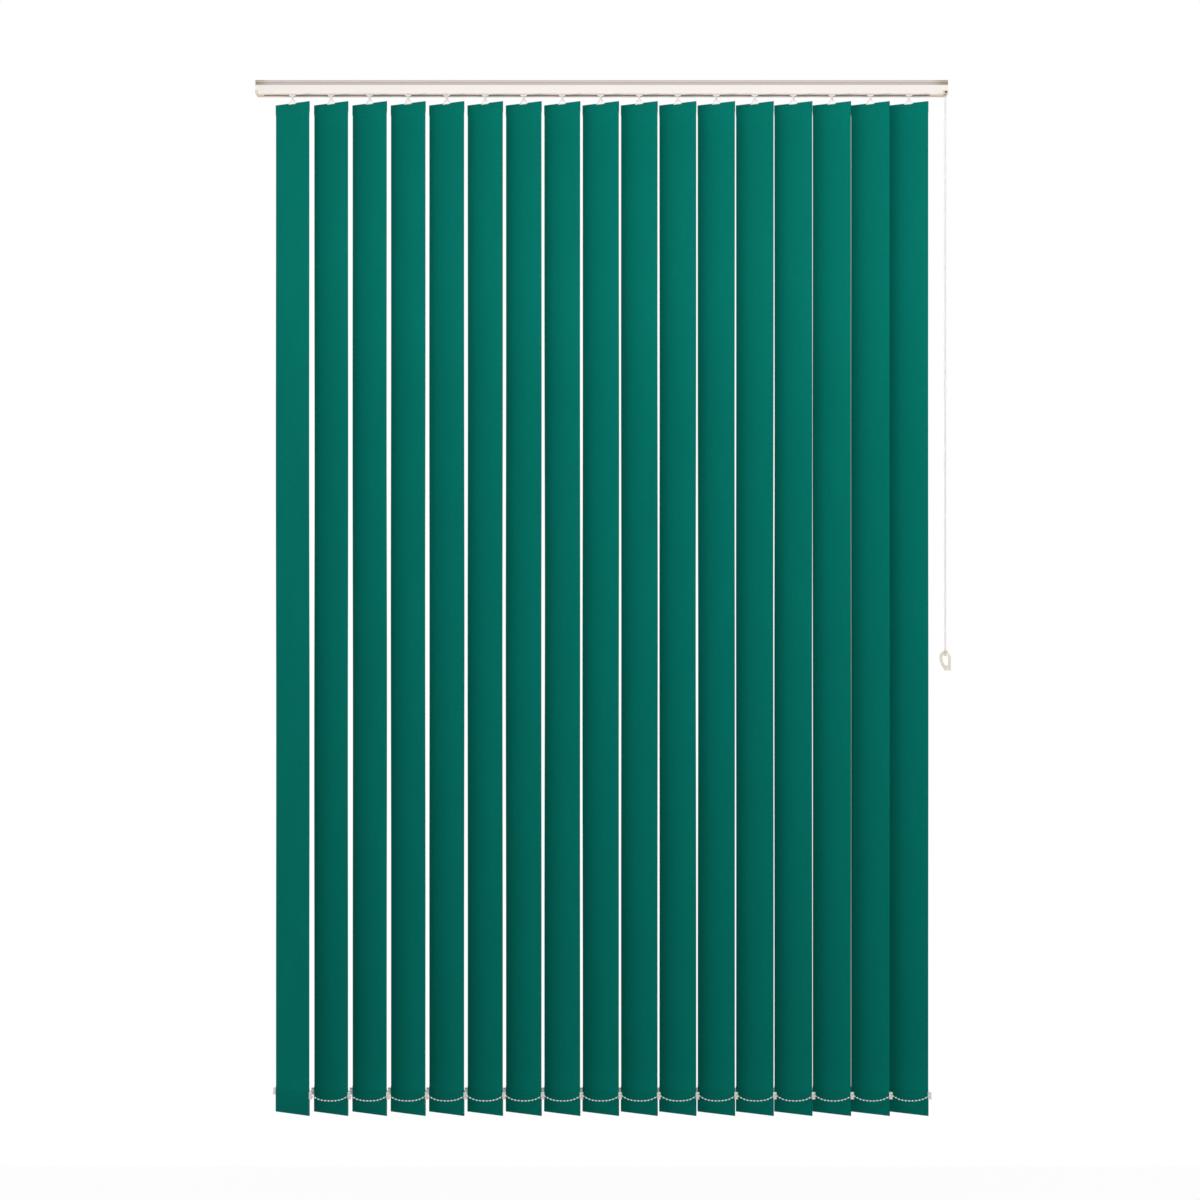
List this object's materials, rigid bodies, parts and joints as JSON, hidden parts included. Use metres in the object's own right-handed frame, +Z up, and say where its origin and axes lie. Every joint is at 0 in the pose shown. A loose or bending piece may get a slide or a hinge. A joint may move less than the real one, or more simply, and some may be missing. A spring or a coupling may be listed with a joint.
{
  "type": "vertical blind",
  "caption": "Vertical blind with tilted green fabric vanes hung from a white headrail, linked below by bead chains and turned by a bead chain loop with a clip.",
  "frame": {"origin": "middle of the headrail's top face, where it meets the ceiling or its brackets", "axes": "+X along the headrail towards the control chain, -Y towards the room, +Z up"},
  "size_m": [1.4408, 0.0568, 2.1435],
  "materials": {
    "rail_enamel": "satin white enamel on extruded aluminium",
    "white_plastic": "moulded white",
    "carrier_plastic": "moulded off-white",
    "chain_plastic": "white beads on a cord",
    "clip_plastic": "moulded cream",
    "sprocket_plastic": "moulded dark brown",
    "rod_aluminium": "drawn",
    "vane_cloth": "plain woven, stiffened"
  },
  "bodies": {
    "headrail": {"headrail": "rail_enamel", "end_covers": "white_plastic", "control_end_housing": "white_plastic", "control_chain": "chain_plastic", "chain_clip": "clip_plastic", "carrier_17": "carrier_plastic"},
    "tilt_drive": {"tilt_rod": "rod_aluminium", "chain_sprocket": "sprocket_plastic"},
    "front_chain": {"bottom_chain_front": "chain_plastic"},
    "back_chain": {"bottom_chain_back": "chain_plastic"},
    "carrier_01": {"carrier_01": "carrier_plastic"},
    "carrier_02": {"carrier_02": "carrier_plastic"},
    "carrier_03": {"carrier_03": "carrier_plastic"},
    "carrier_04": {"carrier_04": "carrier_plastic"},
    "carrier_05": {"carrier_05": "carrier_plastic"},
    "carrier_06": {"carrier_06": "carrier_plastic"},
    "carrier_07": {"carrier_07": "carrier_plastic"},
    "carrier_08": {"carrier_08": "carrier_plastic"},
    "carrier_09": {"carrier_09": "carrier_plastic"},
    "carrier_10": {"carrier_10": "carrier_plastic"},
    "carrier_11": {"carrier_11": "carrier_plastic"},
    "carrier_12": {"carrier_12": "carrier_plastic"},
    "carrier_13": {"carrier_13": "carrier_plastic"},
    "carrier_14": {"carrier_14": "carrier_plastic"},
    "carrier_15": {"carrier_15": "carrier_plastic"},
    "carrier_16": {"carrier_16": "carrier_plastic"},
    "vane_01": {"fittings_01": "white_plastic", "vane_01": "vane_cloth"},
    "vane_02": {"fittings_02": "white_plastic", "vane_02": "vane_cloth"},
    "vane_03": {"fittings_03": "white_plastic", "vane_03": "vane_cloth"},
    "vane_04": {"fittings_04": "white_plastic", "vane_04": "vane_cloth"},
    "vane_05": {"fittings_05": "white_plastic", "vane_05": "vane_cloth"},
    "vane_06": {"fittings_06": "white_plastic", "vane_06": "vane_cloth"},
    "vane_07": {"fittings_07": "white_plastic", "vane_07": "vane_cloth"},
    "vane_08": {"fittings_08": "white_plastic", "vane_08": "vane_cloth"},
    "vane_09": {"fittings_09": "white_plastic", "vane_09": "vane_cloth"},
    "vane_10": {"fittings_10": "white_plastic", "vane_10": "vane_cloth"},
    "vane_11": {"fittings_11": "white_plastic", "vane_11": "vane_cloth"},
    "vane_12": {"fittings_12": "white_plastic", "vane_12": "vane_cloth"},
    "vane_13": {"fittings_13": "white_plastic", "vane_13": "vane_cloth"},
    "vane_14": {"fittings_14": "white_plastic", "vane_14": "vane_cloth"},
    "vane_15": {"fittings_15": "white_plastic", "vane_15": "vane_cloth"},
    "vane_16": {"fittings_16": "white_plastic", "vane_16": "vane_cloth"},
    "vane_17": {"fittings_17": "white_plastic", "vane_17": "vane_cloth"}
  },
  "joints": [
    {"name": "carrier_01_slide", "type": "slide", "parent": "headrail", "child": "carrier_01", "axis": [1, 0, 0], "range_m": [0, 0.992], "deforming": ["bottom_chain_front", "bottom_chain_back"]},
    {"name": "carrier_02_slide", "type": "slide", "parent": "headrail", "child": "carrier_02", "axis": [1, 0, 0], "range_m": [0, 0.93]},
    {"name": "carrier_03_slide", "type": "slide", "parent": "headrail", "child": "carrier_03", "axis": [1, 0, 0], "range_m": [0, 0.868]},
    {"name": "carrier_04_slide", "type": "slide", "parent": "headrail", "child": "carrier_04", "axis": [1, 0, 0], "range_m": [0, 0.806]},
    {"name": "carrier_05_slide", "type": "slide", "parent": "headrail", "child": "carrier_05", "axis": [1, 0, 0], "range_m": [0, 0.744]},
    {"name": "carrier_06_slide", "type": "slide", "parent": "headrail", "child": "carrier_06", "axis": [1, 0, 0], "range_m": [0, 0.682]},
    {"name": "carrier_07_slide", "type": "slide", "parent": "headrail", "child": "carrier_07", "axis": [1, 0, 0], "range_m": [0, 0.62]},
    {"name": "carrier_08_slide", "type": "slide", "parent": "headrail", "child": "carrier_08", "axis": [1, 0, 0], "range_m": [0, 0.558]},
    {"name": "carrier_09_slide", "type": "slide", "parent": "headrail", "child": "carrier_09", "axis": [1, 0, 0], "range_m": [0, 0.496]},
    {"name": "carrier_10_slide", "type": "slide", "parent": "headrail", "child": "carrier_10", "axis": [1, 0, 0], "range_m": [0, 0.434]},
    {"name": "carrier_11_slide", "type": "slide", "parent": "headrail", "child": "carrier_11", "axis": [1, 0, 0], "range_m": [0, 0.372]},
    {"name": "carrier_12_slide", "type": "slide", "parent": "headrail", "child": "carrier_12", "axis": [1, 0, 0], "range_m": [0, 0.31]},
    {"name": "carrier_13_slide", "type": "slide", "parent": "headrail", "child": "carrier_13", "axis": [1, 0, 0], "range_m": [0, 0.248]},
    {"name": "carrier_14_slide", "type": "slide", "parent": "headrail", "child": "carrier_14", "axis": [1, 0, 0], "range_m": [0, 0.186]},
    {"name": "carrier_15_slide", "type": "slide", "parent": "headrail", "child": "carrier_15", "axis": [1, 0, 0], "range_m": [0, 0.124]},
    {"name": "carrier_16_slide", "type": "slide", "parent": "headrail", "child": "carrier_16", "axis": [1, 0, 0], "range_m": [0, 0.062]},
    {"name": "vane_01_tilt", "type": "hinge", "parent": "carrier_01", "child": "vane_01", "pos_m": [-0.639, 0, -0.03], "axis": [0, 0, 1], "range_deg": [-137.1, 22.9]},
    {"name": "vane_02_tilt", "type": "hinge", "parent": "carrier_02", "child": "vane_02", "pos_m": [-0.559, 0, -0.03], "axis": [0, 0, 1], "range_deg": [-137.1, 22.9]},
    {"name": "vane_03_tilt", "type": "hinge", "parent": "carrier_03", "child": "vane_03", "pos_m": [-0.479, 0, -0.03], "axis": [0, 0, 1], "range_deg": [-137.1, 22.9]},
    {"name": "vane_04_tilt", "type": "hinge", "parent": "carrier_04", "child": "vane_04", "pos_m": [-0.399, 0, -0.03], "axis": [0, 0, 1], "range_deg": [-137.1, 22.9]},
    {"name": "vane_05_tilt", "type": "hinge", "parent": "carrier_05", "child": "vane_05", "pos_m": [-0.319, 0, -0.03], "axis": [0, 0, 1], "range_deg": [-137.1, 22.9]},
    {"name": "vane_06_tilt", "type": "hinge", "parent": "carrier_06", "child": "vane_06", "pos_m": [-0.239, 0, -0.03], "axis": [0, 0, 1], "range_deg": [-137.1, 22.9]},
    {"name": "vane_07_tilt", "type": "hinge", "parent": "carrier_07", "child": "vane_07", "pos_m": [-0.159, 0, -0.03], "axis": [0, 0, 1], "range_deg": [-137.1, 22.9]},
    {"name": "vane_08_tilt", "type": "hinge", "parent": "carrier_08", "child": "vane_08", "pos_m": [-0.079, 0, -0.03], "axis": [0, 0, 1], "range_deg": [-137.1, 22.9]},
    {"name": "vane_09_tilt", "type": "hinge", "parent": "carrier_09", "child": "vane_09", "pos_m": [0.001, 0, -0.03], "axis": [0, 0, 1], "range_deg": [-137.1, 22.9]},
    {"name": "vane_10_tilt", "type": "hinge", "parent": "carrier_10", "child": "vane_10", "pos_m": [0.081, 0, -0.03], "axis": [0, 0, 1], "range_deg": [-137.1, 22.9]},
    {"name": "vane_11_tilt", "type": "hinge", "parent": "carrier_11", "child": "vane_11", "pos_m": [0.161, 0, -0.03], "axis": [0, 0, 1], "range_deg": [-137.1, 22.9]},
    {"name": "vane_12_tilt", "type": "hinge", "parent": "carrier_12", "child": "vane_12", "pos_m": [0.241, 0, -0.03], "axis": [0, 0, 1], "range_deg": [-137.1, 22.9]},
    {"name": "vane_13_tilt", "type": "hinge", "parent": "carrier_13", "child": "vane_13", "pos_m": [0.321, 0, -0.03], "axis": [0, 0, 1], "range_deg": [-137.1, 22.9]},
    {"name": "vane_14_tilt", "type": "hinge", "parent": "carrier_14", "child": "vane_14", "pos_m": [0.401, 0, -0.03], "axis": [0, 0, 1], "range_deg": [-137.1, 22.9]},
    {"name": "vane_15_tilt", "type": "hinge", "parent": "carrier_15", "child": "vane_15", "pos_m": [0.481, 0, -0.03], "axis": [0, 0, 1], "range_deg": [-137.1, 22.9]},
    {"name": "vane_16_tilt", "type": "hinge", "parent": "carrier_16", "child": "vane_16", "pos_m": [0.561, 0, -0.03], "axis": [0, 0, 1], "range_deg": [-137.1, 22.9]},
    {"name": "vane_17_tilt", "type": "hinge", "parent": "headrail", "child": "vane_17", "pos_m": [0.641, 0, -0.03], "axis": [0, 0, 1], "range_deg": [-137.1, 22.9]},
    {"name": "tilt_rod_turn", "type": "hinge", "parent": "headrail", "child": "tilt_drive", "pos_m": [0, -0.0075, -0.014], "axis": [1, 0, 0], "range_deg": [-548.4, 91.6]},
    {"name": "front_chain_swivel", "type": "hinge", "parent": "vane_17", "child": "front_chain", "pos_m": [0.68206, -0.02656, -2.0995], "axis": [0, 0, 1], "range_deg": [-22.9, 137.1]},
    {"name": "back_chain_swivel", "type": "hinge", "parent": "vane_17", "child": "back_chain", "pos_m": [0.59994, 0.02656, -2.0995], "axis": [0, 0, 1], "range_deg": [-22.9, 137.1]}
  ],
  "couplings": [
    {"joint": "carrier_02_slide", "follows": "carrier_01_slide", "ratio": 0.9375},
    {"joint": "carrier_03_slide", "follows": "carrier_01_slide", "ratio": 0.875},
    {"joint": "carrier_04_slide", "follows": "carrier_01_slide", "ratio": 0.8125},
    {"joint": "carrier_05_slide", "follows": "carrier_01_slide", "ratio": 0.75},
    {"joint": "carrier_06_slide", "follows": "carrier_01_slide", "ratio": 0.6875},
    {"joint": "carrier_07_slide", "follows": "carrier_01_slide", "ratio": 0.625},
    {"joint": "carrier_08_slide", "follows": "carrier_01_slide", "ratio": 0.5625},
    {"joint": "carrier_09_slide", "follows": "carrier_01_slide", "ratio": 0.5},
    {"joint": "carrier_10_slide", "follows": "carrier_01_slide", "ratio": 0.4375},
    {"joint": "carrier_11_slide", "follows": "carrier_01_slide", "ratio": 0.375},
    {"joint": "carrier_12_slide", "follows": "carrier_01_slide", "ratio": 0.3125},
    {"joint": "carrier_13_slide", "follows": "carrier_01_slide", "ratio": 0.25},
    {"joint": "carrier_14_slide", "follows": "carrier_01_slide", "ratio": 0.1875},
    {"joint": "carrier_15_slide", "follows": "carrier_01_slide", "ratio": 0.125},
    {"joint": "carrier_16_slide", "follows": "carrier_01_slide", "ratio": 0.0625},
    {"joint": "vane_01_tilt", "follows": "vane_17_tilt", "ratio": 1},
    {"joint": "vane_02_tilt", "follows": "vane_17_tilt", "ratio": 1},
    {"joint": "vane_03_tilt", "follows": "vane_17_tilt", "ratio": 1},
    {"joint": "vane_04_tilt", "follows": "vane_17_tilt", "ratio": 1},
    {"joint": "vane_05_tilt", "follows": "vane_17_tilt", "ratio": 1},
    {"joint": "vane_06_tilt", "follows": "vane_17_tilt", "ratio": 1},
    {"joint": "vane_07_tilt", "follows": "vane_17_tilt", "ratio": 1},
    {"joint": "vane_08_tilt", "follows": "vane_17_tilt", "ratio": 1},
    {"joint": "vane_09_tilt", "follows": "vane_17_tilt", "ratio": 1},
    {"joint": "vane_10_tilt", "follows": "vane_17_tilt", "ratio": 1},
    {"joint": "vane_11_tilt", "follows": "vane_17_tilt", "ratio": 1},
    {"joint": "vane_12_tilt", "follows": "vane_17_tilt", "ratio": 1},
    {"joint": "vane_13_tilt", "follows": "vane_17_tilt", "ratio": 1},
    {"joint": "vane_14_tilt", "follows": "vane_17_tilt", "ratio": 1},
    {"joint": "vane_15_tilt", "follows": "vane_17_tilt", "ratio": 1},
    {"joint": "vane_16_tilt", "follows": "vane_17_tilt", "ratio": 1},
    {"joint": "tilt_rod_turn", "follows": "vane_17_tilt", "ratio": 4},
    {"joint": "front_chain_swivel", "follows": "vane_17_tilt", "ratio": -1},
    {"joint": "back_chain_swivel", "follows": "vane_17_tilt", "ratio": -1}
  ]
}
